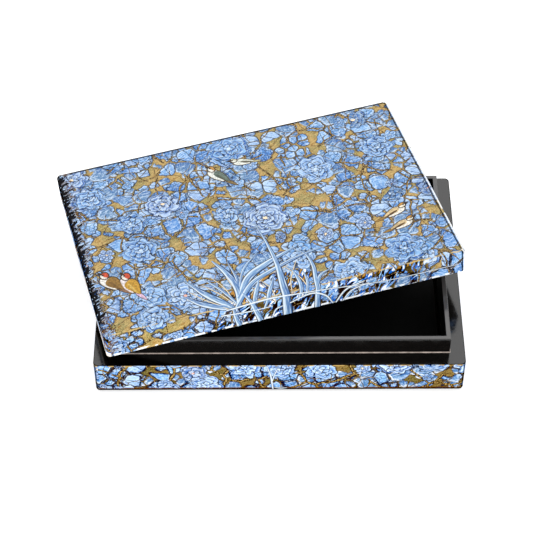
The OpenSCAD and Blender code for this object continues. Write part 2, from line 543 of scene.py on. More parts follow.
def twig_paint(graph, spot, below, size, width, keep, shift):
    """Branching twigs over the colour below: gold brown between inked edges."""
    wavy = graph.wander(graph.shifted(spot, shift, shift), 13 * MM, 3.5 * MM)
    near = graph.cell_edge(wavy, size) * size
    patch = graph.noise(graph.shifted(spot, -shift, shift), 26 * MM)
    fleck = graph.noise(spot, 1.2 * MM)
    bark = graph.mix(fleck.step(0.4, 0.62), UMBER, GOLD)
    colour = bark.painted(near.step(0.5 * width, 0.75 * width), INK)
    mask = near.step(1.1 * width, 0.95 * width) * patch.step(keep, keep + 0.02)
    return below.painted(mask, colour)


def stroke_paint(graph, spot, below, where, over_front):
    """Loose curved strokes in white and two blues over the colour below, and orange ones on the lid's top."""
    flow = graph.wander(spot, 15 * MM, 6 * MM)
    bristle = graph.brushed(flow, lean=-58, length=10 * MM, width=2.6 * MM, detail=1)
    blue = graph.mix(graph.noise(spot, 7 * MM).step(0.4, 0.6), AZURE, SKY)
    ember = bristle.step(0.4, 0.38, 0, 0.9) * over_front.step(3 * MM, 1 * MM)
    colour = below.painted(ember * where, EMBER)
    colour = colour.painted(bristle.step(0.5, 0.53) * where, blue)
    return colour.painted(bristle.step(0.61, 0.63) * where, CHALK)


def dry_brush(graph, spot, colour):
    """Loose streaks, pale and deep, over whatever is blue."""
    parts = graph.node("SeparateColor", Color=colour)
    where = (parts["Blue"] - parts["Red"]).step(0.06, 0.2)
    flow = graph.wander(spot, 17 * MM, 7 * MM)
    streak = graph.brushed(flow, lean=-14, length=5 * MM, width=1.2 * MM)
    return marked(colour, streak, (FROST, 0.54, 0.66, 0.7), (ROYAL, 0.43, 0.33, 0.45), where)


# Fewest and most petals of a scattered flower, how unevenly such flowers stand, and how far seeds lie apart
PETALS = (5, 7)
FLOWER_UNEVEN = 0.9
SEED_SPAN = 90


def flower_paint(graph, spot, below, bold, thin, kind, size, radius, keep, shift):
    """Flowers in cells of one size, over the colour below. Those past keep are left out."""
    wavy = graph.wander(graph.shifted(spot, shift, 2 * shift), 6 * MM, 2.2 * MM)
    cell = graph.cells(wavy, size, FLOWER_UNEVEN)
    edge = graph.cell_edge(wavy, size, FLOWER_UNEVEN)
    chance, tint, turn = graph.split(cell["Color"])
    count = (PETALS[0] + turn * (PETALS[1] - PETALS[0] + 0.99)).whole()
    light = graph.mix(tint.step(0.3, 1, 0, 0.6), SKY, FROST)
    light = light.painted(chance.step(0.3 * keep, 0.28 * keep, 0, 0.8), SLATE)
    light = light.painted(turn.step(0.7, 0.72, 0, 0.15), LILAC)
    light = light.painted(bold * 0.2, CHALK)
    deep = graph.mix(turn.step(0.2, 0.8), CORNFLOWER, ROYAL)
    deep = deep.painted(bold * 0.6, ROYAL)
    warm = graph.mix(tint.step(0.5, 0.52), BLUSH, CREAM)
    middle = graph.mix(turn.step(0.55, 0.57), FROST, warm)
    wide = radius[0] + tint * (radius[1] - radius[0])
    made = graph.node("Group", {"node_tree": kind},
                      Place=graph.vector("SUBTRACT", wavy, cell["Position"]),
                      Radius=wide, Petals=count, Turn=turn, Seed=tint * SEED_SPAN,
                      Light=light, Deep=deep, Middle=middle)
    shape = made["Inside"].least(edge * size)
    there = (chance + thin * 0.3).below(keep)
    colour = made["Color"].painted(shape.step(0.36 * MM, 0.16 * MM, 0, 0.7), INK)
    cast = shape.step(-1.3 * MM, -0.05 * MM, 0, 0.6) * there
    below = below.painted(cast, INK)
    mask = mask_of(shape) * there
    return below.painted(mask, colour), mask, made["Height"]


# Large flowers of the lid: middle and radius in mm on the unfolded lid. The first is the largest.
FLOWERS = [
    (6, -9, 18), (-19, 4, 10), (-86, -12, 14), (-86, 17, 12), (0, 73, 17),
    (54, 30, 15), (-66, -66, 14), (-92, -80, 12), (104, 38, 13), (88, -70, 15), (-108, 52, 13),
]
# Radii between which a flower comes to count as the largest, more radii than any point is from a flower,
# and turns for each metre to the right, which turn every flower its own way
LARGEST = (17.4 * MM, 17.6 * MM)
FAR_AWAY = 99.0
TURNS_PER_METRE = 137


def large_flowers(graph, flat, below):
    """The lid's large flowers over the colour below. Each point is drawn from the flower nearest to it."""
    wavy = graph.wander(flat, 7 * MM, 2.3 * MM)
    nearest = FAR_AWAY
    chosen = (0, 0, 1)
    for u, v, radius in FLOWERS:
        far = graph.vector("DISTANCE", wavy, (u * MM, v * MM, 0))["Value"]
        share = far / (radius * MM)
        chosen = graph.mix(share.below(nearest), chosen, (u * MM, v * MM, radius * MM), "VECTOR")
        nearest = graph.math("MINIMUM", nearest, share)
    u, v, radius = graph.split(chosen)
    turn = (u * TURNS_PER_METRE).fraction()
    first = radius.step(*LARGEST)
    middle = graph.mix(first, graph.mix(turn.step(0.55, 0.6), FROST, BLUSH), CREAM)
    place = graph.vector("SUBTRACT", wavy, graph.node("CombineXYZ", X=u, Y=v))
    made = graph.node("Group", {"node_tree": PEONY}, Place=place, Radius=radius, Turn=turn,
                      Petals=graph.math("MULTIPLY_ADD", turn, 1.9, 6).whole(), Seed=turn * SEED_SPAN,
                      Light=graph.mix(turn, SKY, FROST),
                      Deep=graph.mix(first, graph.mix(turn, ROYAL, CORNFLOWER), ROYAL), Middle=middle)
    below = below.painted(made["Inside"].step(-1.2 * MM, -0.05 * MM, 0, 0.5), INK)
    return below.painted(mask_of(made["Inside"]), made["Color"])


def lid_dusk(graph, flat, spot, past):
    """Where the lid's ground is dark, and where its leaves are thin.

    Both hold at the foot of the spray, on the left wall and on the front wall but for its ends.
    The ground is also dark along the left edge and on the right and back walls. On the left wall this dark is
    painted shade as well as a dark ground.
    """
    u = graph.split(flat)[0]
    thin = u.step(-75 * MM, -45 * MM) * u.step(112 * MM, 90 * MM)
    ragged = (graph.noise(spot, 9 * MM) - 0.5) * (24 * MM)
    over = (past["front"] + ragged).step(-1.5 * MM, -0.5 * MM)
    thin = thin * over.most(past["front"].step(0, 1.5 * MM))
    thicket = graph.vector("MULTIPLY", graph.shifted(flat, 6 * MM, 80 * MM),
                           (1 / (36 * MM), 1 / (17 * MM), 0))
    thin = thin.most(graph.length(graph.wander(thicket, 0.5, 0.25)).step(1, 0.85))
    # Dark over the left edge and the left wall: a dark ground, and on the wall painted shade too
    left = past["left"].step(-7 * MM, -1 * MM)
    thin = thin.most(past["left"].step(1 * MM, 3 * MM, 0, 0.8))
    rest = past["right"].most(past["back"]).step(0, 2 * MM, 0, 0.75)
    patch = graph.noise(spot, 14 * MM)
    dusk = thin.most(left).most(rest)
    return dusk * patch.step(0.3, 0.5, 0.7, 1), thin


# Lines along the lid's edges: side, middle and half width in mm, paint, and the noise from which it shows
EDGE_LINES = [
    ("front", 0.0, 0.7, GOLD_PALE, 0.46), ("back", -0.2, 1.1, NIGHT, 0.2),
    # The white line at the right, on the rounded arris, is a painted reflection
    ("right", -1.1, 0.7, NIGHT, 0.2), ("right", 0.6, 0.8, CHALK, 0.3),
]


def left_strip(graph, spot, colour, past, broken, jagged):
    """Flecked black strip along the lid's left edge, ending in brush teeth beside earth and pale blue."""
    strip = past["left"] + jagged
    shadow = strip.step(-2.1 * MM, -1.5 * MM).most(past["left"].step(-0.6 * MM, 0))
    shadow = shadow * past["front"].step(-8 * MM, -14 * MM)
    patchy = graph.noise(spot, 5 * MM).step(0.46, 0.5)
    lower = past["left"] - jagged * 0.5
    shadow = shadow * lower.step(11 * MM, 9.5 * MM)
    earth = strip.step(-6.0 * MM, -4.6 * MM, 0, 0.9) * broken.step(0.47, 0.53)
    colour = colour.painted(earth * past["left"].step(1.5 * MM, 0.5 * MM), EARTH)
    glint = strip.step(-3.4 * MM, -3.0 * MM) * strip.step(-2.1 * MM, -2.5 * MM, 0, 0.6)
    colour = colour.painted(glint, FROST)
    fleck = graph.noise(spot, 1.6 * MM, detail=1).step(0.65, 0.69)
    fleck = fleck * past["left"].step(3 * MM, 2 * MM)
    black = graph.mix(fleck, NIGHT, graph.mix(patchy, ROYAL, FROST))
    return colour.painted(shadow, black)


def edge_lines(graph, spot, colour, past, wall):
    """Lines along the lid's edges: gold in front, black behind and at the left, and at the right black beside
    a white painted reflection on the arris.

    The lower rims of its front and left wall are painted pale: worn paper and a painted highlight.
    """
    broken = graph.noise(spot, 9 * MM)
    sway = (graph.noise(spot, 5 * MM) - 0.5) * (2.4 * MM)
    for side, middle, half, paint, shown in EDGE_LINES:
        reach = past[side] + sway if side == "front" else past[side]
        near = abs(reach - middle * MM)
        line = near.step(half * MM, 0.6 * half * MM, 0, 0.85) * broken.step(shown, shown + 0.08)
        colour = colour.painted(line, paint)
    jagged = (graph.brushed(spot, lean=-32, length=11 * MM, width=2.4 * MM) - 0.5) * (26 * MM)
    colour = left_strip(graph, spot, colour, past, broken, jagged)
    worn = (past["front"] + jagged).step(-90 * MM, -82 * MM)
    # Pale lower rims: worn paper and a painted highlight along the rounded edge
    front_rim_wear_highlight = past["front"].step(wall - 0.5 * MM, wall - 0.3 * MM, 0, 0.9)
    chipped = graph.noise(spot, 7 * MM).step(0.48, 0.52)
    colour = colour.painted(front_rim_wear_highlight * chipped, CHALK)
    left_rim_wear_highlight = past["left"].step(wall - 1.9 * MM, wall - 1.6 * MM, 0, 0.9)
    return colour.painted(left_rim_wear_highlight * worn, graph.mix(0.5, CREAM, CHALK))


# Height of the foot of the base's painted wall, where its lower lines begin
BAND_FOOT = 2.6 * MM


def band_edges(graph, spot, flat, colour):
    """Lines along the base's edges: gold and black above, brown and black below, black at the corners. The
    black below and at the corners is painted shade.

    v is 0 where the paper begins at the ledge, and falls on the way down.
    """
    u, v, _ = graph.split(flat)
    broken = graph.noise(spot, 9 * MM)
    above = v.step(-1.9 * MM, -1.6 * MM) * broken.step(0.48, 0.56, 0, 0.9)
    colour = colour.painted(above, GOLD)
    colour = colour.painted(v.step(-0.8 * MM, -0.6 * MM, 0, 0.95), NIGHT)
    low = BAND_FOOT - BASE_H
    under = v.step(low + 0.7 * MM, low + 0.1 * MM) * broken.step(0.35, 0.5, 0.4, 0.9)
    colour = colour.painted(under, SIENNA)
    # Black along the foot: painted shade
    colour = colour.painted(v.step(low - 0.5 * MM, low - 0.9 * MM, 0, 0.95), NIGHT)
    # Black at the four upright corners: painted shade
    quarter = CORNER_R * QUARTER_TURN
    corner = -quarter / 2
    for run in (BASE_W, BASE_D, BASE_W, BASE_D):
        corner += run - 2 * CORNER_R + quarter
        colour = colour.painted(abs(u - corner).step(1.1 * MM, 0.6 * MM, 0, 0.75), NIGHT)
    return colour


# Brightness added for each unit of contrast: a tone of 0.5 less this, a middle grey, stays as it is
CONTRAST_LIFT = 0.355


def painted_paper(name, shift, lid=None, contrast=0.0):
    """Painted paper, unfolded flat by the Paint map: varnished, or matt and bolder where contrast is given.

    For the lid's paper, lid is the half width and half depth of its top and the way down its wall.
    """
    matt = contrast > 0
    graph = MaterialGraph(name)
    flat = graph.paint_map()
    spot = graph.shifted(flat, *shift)
    bold, dusk, thin = 1.0, 0.55, 0.0
    twig_wide, twig_keep, peony_keep = 1.1 * MM, 0.4, 0.36
    if lid:
        half_w, half_d, wall = lid
        u, v, _ = graph.split(flat)
        past = {"left": -u - half_w, "right": u - half_w, "front": -v - half_d, "back": v - half_d}
        beyond = past["left"].most(past["right"]).most(past["front"].most(past["back"]))
        bold = beyond.step(-2 * MM, 2 * MM)
        dusk, thin = lid_dusk(graph, flat, spot, past)
        twig_wide, twig_keep, peony_keep = 0.75 * MM, 0.47, 0.24
    colour = ground_paint(graph, spot, dusk)
    colour, low_leaf = leaf_paint(graph, spot, colour, bold, thin, size=7.2 * MM, keep=0.68, shift=0.13)
    if lid:
        colour = stroke_paint(graph, spot, colour, thin, past["front"])
    colour, leaf = leaf_paint(graph, spot, colour, bold, thin, size=13 * MM, keep=0.6, shift=0.57)
    colour = twig_paint(graph, spot, colour, size=30 * MM, width=twig_wide, keep=twig_keep, shift=0.23)
    colour = twig_paint(graph, spot, colour, size=15 * MM, width=0.3 * MM, keep=0.42, shift=0.71)
    colour, small, small_up = flower_paint(graph, spot, colour, bold, thin, ROSETTE, size=15 * MM,
                                           radius=(4.2 * MM, 6.8 * MM), keep=0.1, shift=0.31)
    colour, large, large_up = flower_paint(graph, spot, colour, bold, thin, PEONY, size=27 * MM,
                                           radius=(8 * MM, 14 * MM), keep=peony_keep, shift=0.77)
    if lid:
        colour = large_flowers(graph, flat, colour)
    colour = dry_brush(graph, spot, colour)
    if lid:
        colour = edge_lines(graph, spot, colour, past, wall)
    else:
        colour = band_edges(graph, spot, flat, colour)
    if matt:
        colour = graph.node("BrightContrast", Color=colour, Bright=CONTRAST_LIFT * contrast,
                            Contrast=contrast)
    grain = graph.noise(spot, 0.35 * MM, detail=3)
    raised = low_leaf.most(leaf) * 0.4 + grain * 0.12
    raised = raised + small * small_up
    raised = raised + large * large_up
    return graph.finish(Base_Color=colour, Normal=graph.bump(raised, 0.5, 0.05 * MM),
                        Roughness=graph.noise(spot, 5 * MM).step(0.3, 0.7, 0.3, 0.42),
                        Specular_IOR_Level=0.0 if matt else 0.03,
                        Coat_Weight=0.0 if matt else 0.01, Coat_Roughness=0.22)


def black_lacquer(name, wear_and_sheen_top=False):
    """Gloss black lacquer, brushed a little unevenly, with dust and scuffs. A grey top is rubbed wear and
    painted sheen.
    """
    graph = MaterialGraph(name)
    place = graph.object_place()
    peel = graph.noise(place, 1.6 * MM)
    swell = graph.noise(place, 18 * MM, detail=1)
    scuff = graph.noise(graph.vector("MULTIPLY", place, (1, 6, 1)), 7 * MM, detail=5, rough=0.7)
    dust = graph.noise(place, 0.5 * MM, detail=1)
    colour = graph.mix(scuff.step(0.5, 0.8), linear(5, 3, 2), linear(13, 9, 6))
    colour = colour.painted(dust.step(0.76, 0.82, 0, 0.3), linear(92, 88, 84))
    if wear_and_sheen_top:
        upward = graph.split(graph.node("NewGeometry")["Normal"])[2]
        # Grey on the upward faces: rubbed wear and a painted sheen
        colour = colour.painted(upward.step(0.75, 0.95, 0, 0.9), linear(72, 70, 70))
    return graph.finish(Base_Color=colour, Normal=graph.bump(peel * 0.25 + swell, 0.35, 0.12 * MM),
                        Roughness=scuff.step(0.35, 0.75, 0.07, 0.2))


def seam_lacquer():
    """Lacquer painted pale grey along the joint at the foot of the lip: worn lacquer and a painted highlight.
    """
    graph = MaterialGraph("seam_lacquer")
    seam_mottle = graph.noise(graph.object_place(), 6 * MM, detail=4, rough=0.6)
    # Pale grey: worn lacquer and a painted highlight along the joint
    colour = graph.mix(seam_mottle.step(0.3, 0.7), linear(140, 128, 120), linear(200, 184, 174))
    return graph.finish(Base_Color=colour, Normal=graph.bump(seam_mottle, 0.3, 0.05 * MM),
                        Roughness=seam_mottle.step(0.3, 0.7, 0.2, 0.4))


def lining_paper():
    """Black lining paper: satin, with the fibres of the sheet just to be seen."""
    graph = MaterialGraph("lining_paper")
    place = graph.object_place()
    fibre = graph.noise(graph.vector("MULTIPLY", place, (1, 3, 1)), 0.8 * MM, detail=4, rough=0.65)
    cloud = graph.noise(place, 22 * MM)
    colour = graph.mix(fibre.step(0.45, 0.75), linear(4, 4, 4), linear(15, 14, 14))
    colour = colour.painted(cloud.step(0.45, 0.7, 0, 0.4), linear(9, 8, 8))
    return graph.finish(Base_Color=colour, Normal=graph.bump(fibre, 0.4, 0.06 * MM),
                        Roughness=fibre.step(0.3, 0.7, 0.42, 0.6), Specular_IOR_Level=0.2)


def pulp_board():
    """Raw pressed pulp: grey brown, with short fibres and flecks of print."""
    graph = MaterialGraph("pulp_board")
    place = graph.object_place()
    fibre = graph.noise(graph.vector("MULTIPLY", place, (1, 4, 2)), 1.5 * MM, detail=5, rough=0.7)
    fleck = graph.noise(place, 1.1 * MM)
    colour = graph.mix(fibre.step(0.35, 0.7), linear(128, 112, 88), linear(168, 150, 120))
    colour = colour.painted(fleck.step(0.7, 0.76, 0, 0.7), linear(70, 66, 64))
    return graph.finish(Base_Color=colour, Normal=graph.bump(fibre, 0.6, 0.2 * MM),
                        Roughness=fibre.step(0.3, 0.7, 0.8, 0.95))


LACQUER = black_lacquer("black_lacquer")
LIP_LACQUER = black_lacquer("lip_lacquer", wear_and_sheen_top=True)
SEAM = seam_lacquer()
SLOT_MATERIAL = {"black_lacquer": LACQUER, "lining_paper": lining_paper(), "pulp_board": pulp_board()}


def dress_cad_nodes():
    """Gives each solid of the frame its material."""
    for part in frame["record"]["subparts"]:
        material = SLOT_MATERIAL.get(part["material_slot"])
        if material is None:
            continue
        if part["node"].startswith("lip_"):
            material = LIP_LACQUER
        mesh = frame["nodes"][part["node"]].data
        mesh.materials.clear()
        mesh.materials.append(material)


class Loop:
    """Closed rounded rectangle in plan, with the same points at every inset from its outside."""

    CORNER_STEPS = 6
    SMALLEST_CORNER = 0.3 * MM

    def __init__(self, width, depth, corner, steps_x, steps_y):
        self.half = (width / 2, depth / 2)
        self.corner = corner
        self.steps = (steps_x, steps_y)
        self.count = 2 * (steps_x + steps_y + 2 * self.CORNER_STEPS)

    def points(self, inset):
        """(x, y, side, distance along that side) of each point, from the front's left end to the right."""
        half_x, half_y = self.half[0] - inset, self.half[1] - inset
        corner = max(self.corner - inset, self.SMALLEST_CORNER)
        found = []
        for side in range(4):
            run, across = (half_x, half_y) if side % 2 == 0 else (half_y, half_x)
            steps = self.steps[side % 2]
            flat = run - corner
            turn = Matrix.Rotation(side * QUARTER_TURN, 2)
            for i in range(steps):
                along = -flat + 2 * flat * i / steps
                found.append((*(turn @ Vector((along, -across))), side, along))
            for i in range(self.CORNER_STEPS):
                angle = QUARTER_TURN * i / self.CORNER_STEPS
                out = Vector((flat + corner * math.sin(angle), -across + corner - corner * math.cos(angle)))
                found.append((*(turn @ out), side, flat + corner * angle))
        return found


SHARP_ANGLE = math.radians(40)


def finish_mesh(name, mesh_data, materials):
    """Object from a bmesh, with smooth shading but for sharp edges."""
    bmesh.ops.recalc_face_normals(mesh_data, faces=mesh_data.faces)
    mesh = bpy.data.meshes.new(name)
    mesh_data.to_mesh(mesh)
    mesh_data.free()
    mesh.shade_smooth()
    mesh.set_sharp_from_angle(angle=SHARP_ANGLE)
    for material in materials:
        mesh.materials.append(material)
    made = bpy.data.objects.new(name, mesh)
    bpy.context.scene.collection.objects.link(made)
    return made


def join_rings(mesh_data, first, second):
    """Faces between two closed rings of vertices."""
    band = []
    for i in range(len(first)):
        j = (i + 1) % len(first)
        band.append(mesh_data.faces.new((first[i], first[j], second[j], second[i])))
    return band


def sweep(mesh_data, loop, stations, shape=None):
    """One ring of vertices per station (inset, height), joined by faces. Returns rings and faces by ring."""
    rings = []
    for inset, height in stations:
        ring = []
        for x, y, _, _ in loop.points(inset):
            at = Vector((x, y, height))
            ring.append(mesh_data.verts.new(shape(at) if shape else at))
        rings.append(ring)
    return rings, [join_rings(mesh_data, first, second) for first, second in zip(rings, rings[1:])]


def cap(mesh_data, loop, ring, height, inset, shape):
    """Fills a ring with a grid whose rows and columns follow the ring's own points."""
    places = loop.points(inset)
    steps_x, steps_y = loop.steps
    side_run = [steps_x + loop.CORNER_STEPS, steps_y + loop.CORNER_STEPS] * 2
    starts = [sum(side_run[:side]) for side in range(4)]
    columns = [places[i][0] for i in range(starts[0], starts[0] + steps_x + 1)]
    rows = [places[i][1] for i in range(starts[1], starts[1] + steps_y + 1)]
    grid = {}
    for i, x in enumerate(columns):
        for j, y in enumerate(rows):
            grid[i, j] = mesh_data.verts.new(shape(Vector((x, y, height))))
    faces = []
    for i in range(steps_x):
        for j in range(steps_y):
            quad = (grid[i, j], grid[i + 1, j], grid[i + 1, j + 1], grid[i, j + 1])
            faces.append(mesh_data.faces.new(quad))
    edges = [
        [grid[i, 0] for i in range(steps_x + 1)],
        [grid[steps_x, j] for j in range(steps_y + 1)],
        [grid[steps_x - i, steps_y] for i in range(steps_x + 1)],
        [grid[0, steps_y - j] for j in range(steps_y + 1)],
    ]
    for side in range(4):
        start = starts[side]
        steps = loop.steps[side % 2]
        for i in range(steps):
            quad = (ring[start + i], ring[start + i + 1], edges[side][i + 1], edges[side][i])
            faces.append(mesh_data.faces.new(quad))
        for i in range(steps, side_run[side]):
            following = (start + i + 1) % loop.count
            faces.append(mesh_data.faces.new((ring[start + i], ring[following], edges[side][-1])))
    return faces


def arc(middle, radius, start, end, steps):
    """Points (inset, height) along an arc. Angle 0 points inwards and 90 degrees upwards."""
    found = []
    for i in range(steps + 1):
        angle = math.radians(start + (end - start) * i / steps)
        found.append((middle[0] + radius * math.cos(angle), middle[1] + radius * math.sin(angle)))
    return found


# Handwork: size of its unevenness, how far it strays on lid and base, and how far from an edge it is free
UNEVEN_SIZE = 40 * MM
LID_STRAY = 0.1 * MM
LID_DIP = 0.07 * MM
BASE_STRAY = 0.12 * MM
FREE_FROM = 6 * MM
ONE_ON = Vector((1, 0, 0))


def uneven(point, reach):
    """How far handwork strays at a point."""
    return reach * noise.noise(point / UNEVEN_SIZE)


def lid_by_hand(at):
    """A point of the lid, moved as unevenly as the handmade lid is. Its top only strays down."""
    stray = Vector((uneven(at, LID_STRAY), uneven(at + ONE_ON, LID_STRAY),
                    uneven(at + 2 * ONE_ON, LID_DIP) - LID_DIP))
    return at + stray * min(1, at.z / FREE_FROM)


def base_by_hand(at):
    """A point of the base, moved as unevenly as the handmade base is."""
    free = min(1, max(0, (BASE_H - at.z) / FREE_FROM)) * min(1, at.z / FREE_FROM)
    return at + free * Vector((uneven(at, BASE_STRAY), uneven(at + ONE_ON, BASE_STRAY), 0))


# Steps of both papers along their sides and around an arris, and heights of the rings beside the edges
PAPER_STEPS = (40, 28)
ARRIS_STEPS = 6
INNER_STEPS = 4
EDGE_SUPPORT = 1.5 * MM
ARRIS_SUPPORT = 1 * MM
# How many bands of the lid's paper from its top are varnished, and how far a side's map runs on at its end
GLOSSY_BANDS = 4
MAP_END = 0.3 * MM
# Half width and half depth of the lid's flat top, past which the unfolded walls begin
FLAT_X = LID_W / 2 - ARRIS_R
FLAT_Y = LID_D / 2 - ARRIS_R


def unfold_lid(made, loop, outside, bands, top_faces):
    """Lays the lid's paper flat in the Paint map: its top in the middle, and each wall past its own edge."""
    paint = made.loops.layers.uv.new("Paint")
    down = [-EDGE_SUPPORT, 0]
    for before, after in zip(outside[1:], outside[2:]):
        down.append(down[-1] + math.dist(before, after))
    while len(down) <= len(bands):
        down.append(down[-1])
    places = loop.points(0)
    for number, band in enumerate(bands):
        for i, face in enumerate(band):
            face.material_index = 0 if number < GLOSSY_BANDS else 1
            _, _, side, start = places[i]
            _, _, next_side, end = places[(i + 1) % loop.count]
            if next_side != side:
                end = start + MAP_END
            corners = ((start, number), (end, number), (end, number + 1), (start, number + 1))
            for corner, (along, ring) in zip(face.loops, corners):
                reach = (FLAT_Y if side % 2 == 0 else FLAT_X) + down[ring]
                corner[paint].uv = Matrix.Rotation(side * QUARTER_TURN, 2) @ Vector((along, -reach))
    for face in top_faces:
        for corner in face.loops:
            corner[paint].uv = corner.vert.co.xy


def lid_cover():
    """Painted paper over the lid's top and walls: a closed shell with soft arris and rounded lower edge."""
    loop = Loop(LID_W, LID_D, CORNER_R, *PAPER_STEPS)
    half = PAPER / 2
    inset = ARRIS_R + EDGE_SUPPORT
    arris_middle = (ARRIS_R, LID_H - ARRIS_R)
    arris = arc(arris_middle, ARRIS_R, 90, 180, ARRIS_STEPS)
    wall = [(0, LID_H - ARRIS_R - ARRIS_SUPPORT), (0, LID_H / 2), (0, EDGE_SUPPORT)]
    rim = arc((half, half), half, 180, 360, ARRIS_STEPS)
    outside = [(inset, LID_H)] + arris + wall + rim
    inner_arris = arc(arris_middle, ARRIS_R - PAPER, 180, 90, INNER_STEPS)
    inside = [(PAPER, LID_H / 2)] + inner_arris + [(inset, LID_H - PAPER)]

    made = bmesh.new()
    rings, bands = sweep(made, loop, outside + inside, lid_by_hand)
    top_faces = cap(made, loop, rings[0], LID_H, inset, lid_by_hand)
    cap(made, loop, rings[-1], LID_H - PAPER, inset, lid_by_hand)
    unfold_lid(made, loop, outside, bands, top_faces)

    wall_down = LID_H - 2 * ARRIS_R + ARRIS_R * QUARTER_TURN
    lid_sizes = (FLAT_X, FLAT_Y, wall_down)
    shift = (0.43, 0.21)
    glossy = painted_paper("painted_lid_paper", shift, lid_sizes)
    dull = painted_paper("painted_lid_side", shift, lid_sizes, contrast=0.14)
    piece = finish_mesh("lid_painted_cover", made, [glossy, dull])
    piece.data.transform(LID)
    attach(piece, "lid")
    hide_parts("lid_skin")


def base_band():
    """Painted paper around the base, turned in under it: a closed ring with rounded edges."""
    loop = Loop(BASE_W, BASE_D, CORNER_R, *PAPER_STEPS)
    half = PAPER / 2
    arris_middle = (ARRIS_R, ARRIS_R)
    top_edge = arc((half, BASE_H - half), half, 0, 180, ARRIS_STEPS)
    wall = [(0, BASE_H - EDGE_SUPPORT), (0, BASE_H / 2), (0, ARRIS_R + ARRIS_SUPPORT)]
    arris = arc(arris_middle, ARRIS_R, 180, 270, ARRIS_STEPS)
    under = arc((TURN_IN - half, half), half, 270, 450, INNER_STEPS)
    inner_arris = arc(arris_middle, ARRIS_R - PAPER, 270, 180, INNER_STEPS)
    stations = top_edge + wall + arris + under + inner_arris + [(PAPER, BASE_H / 2)]

    made = bmesh.new()
    rings, bands = sweep(made, loop, stations, base_by_hand)
    bands.append(join_rings(made, rings[-1], rings[0]))

    paint = made.loops.layers.uv.new("Paint")
    down = [0]
    for before, after in zip(stations, stations[1:] + stations[:1]):
        down.append(down[-1] + math.dist(before, after))
    around = [0]
    places = loop.points(0)
    for here, there in zip(places, places[1:] + places[:1]):
        around.append(around[-1] + math.dist(here[:2], there[:2]))
    for number, band in enumerate(bands):
        for i, face in enumerate(band):
            corners = ((i, number), (i + 1, number), (i + 1, number + 1), (i, number + 1))
            for corner, (along, ring) in zip(face.loops, corners):
                corner[paint].uv = (around[along], -down[ring])
    material = painted_paper("painted_base_paper", (0.11, 0.64), contrast=0.25)
    piece = finish_mesh("base_painted_band", made, [material])
    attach(piece, "base")
    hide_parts("base_skin")


def on_lid(u, v, lift):
    """The place at (u, v) of the unfolded lid, raised by lift. Past the front arris it is on the wall."""
    past = -FLAT_Y - v
    if past <= 0:
        return lid_by_hand(Vector((u, v, LID_H))) + Vector((0, 0, lift))
    angle = min(past / ARRIS_R, QUARTER_TURN)
    down = max(0, past - ARRIS_R * QUARTER_TURN)
    out = Vector((0, -math.sin(angle), math.cos(angle)))
    heel = Vector((u, -FLAT_Y, LID_H - ARRIS_R - down))
    return lid_by_hand(heel + out * ARRIS_R) + out * lift


def on_base(u, v, lift):
    """The place at (u, v) of the base's front wall, raised by lift. v runs up from the table."""
    return Vector((u, BASE_LOW.y - lift, v))


# Section of a brush stroke: shares of its half width, and of its height there. Its underside is sunk in.
ACROSS = (-1, -0.6, 0, 0.6, 1)
CROWN = (0.4, 0.85, 1, 0.85, 0.4)
SUNK = 0.2 * MM
STROKE_STEP = 0.8 * MM
NARROWEST = 0.3 * MM


def stroke(made, paint, spine, widths, rise, surface):
    """A raised brush stroke along (u, v) points: domed above, flat below the paper, closed at both ends."""
    shares = ACROSS + (1, -1)
    lifts = [rise * high for high in CROWN] + [-SUNK, -SUNK]
    rings = []
    for i, at in enumerate(spine):
        before, after = spine[max(i - 1, 0)], spine[min(i + 1, len(spine) - 1)]
        ahead = (after - before).normalized()
        aside = Vector((ahead.y, -ahead.x))
        ring = []
        for share, lift in zip(shares, lifts):
            place = at + aside * share * widths[i] / 2
            ring.append(made.verts.new(surface(place.x, place.y, lift)))
        rings.append(ring)
    for i, (first, second) in enumerate(zip(rings, rings[1:])):
        for j in range(len(shares)):
            k = (j + 1) % len(shares)
            face = made.faces.new((first[j], second[j], second[k], first[k]))
            ends = ((shares[j], i), (shares[j], i + 1), (shares[k], i + 1), (shares[k], i))
            for corner, (share, number) in zip(face.loops, ends):
                corner[paint].uv = (share, number / (len(spine) - 1))
    for ring in (rings[0], rings[-1][::-1]):
        face = made.faces.new(ring)
        for corner in face.loops:
            corner[paint].uv = (1, 0)


def flowing_line(points, spacing):
    """Points about this far apart on a smooth curve through (u, v, width) points, which are given in mm."""
    points = [Vector(at) * MM for at in points]
    points = [2 * points[0] - points[1]] + points + [2 * points[-1] - points[-2]]
    found = []
    for before, start, end, after in zip(points, points[1:], points[2:], points[3:]):
        steps = max(2, round((end - start).xy.length / spacing))
        for i in range(steps):
            share = i / steps
            bend = 2 * before - 5 * start + 4 * end - after
            twist = 3 * start - before - 3 * end + after
            found.append((2 * start + (end - before) * share + bend * share ** 2 + twist * share ** 3) / 2)
    return found + [points[-2]]


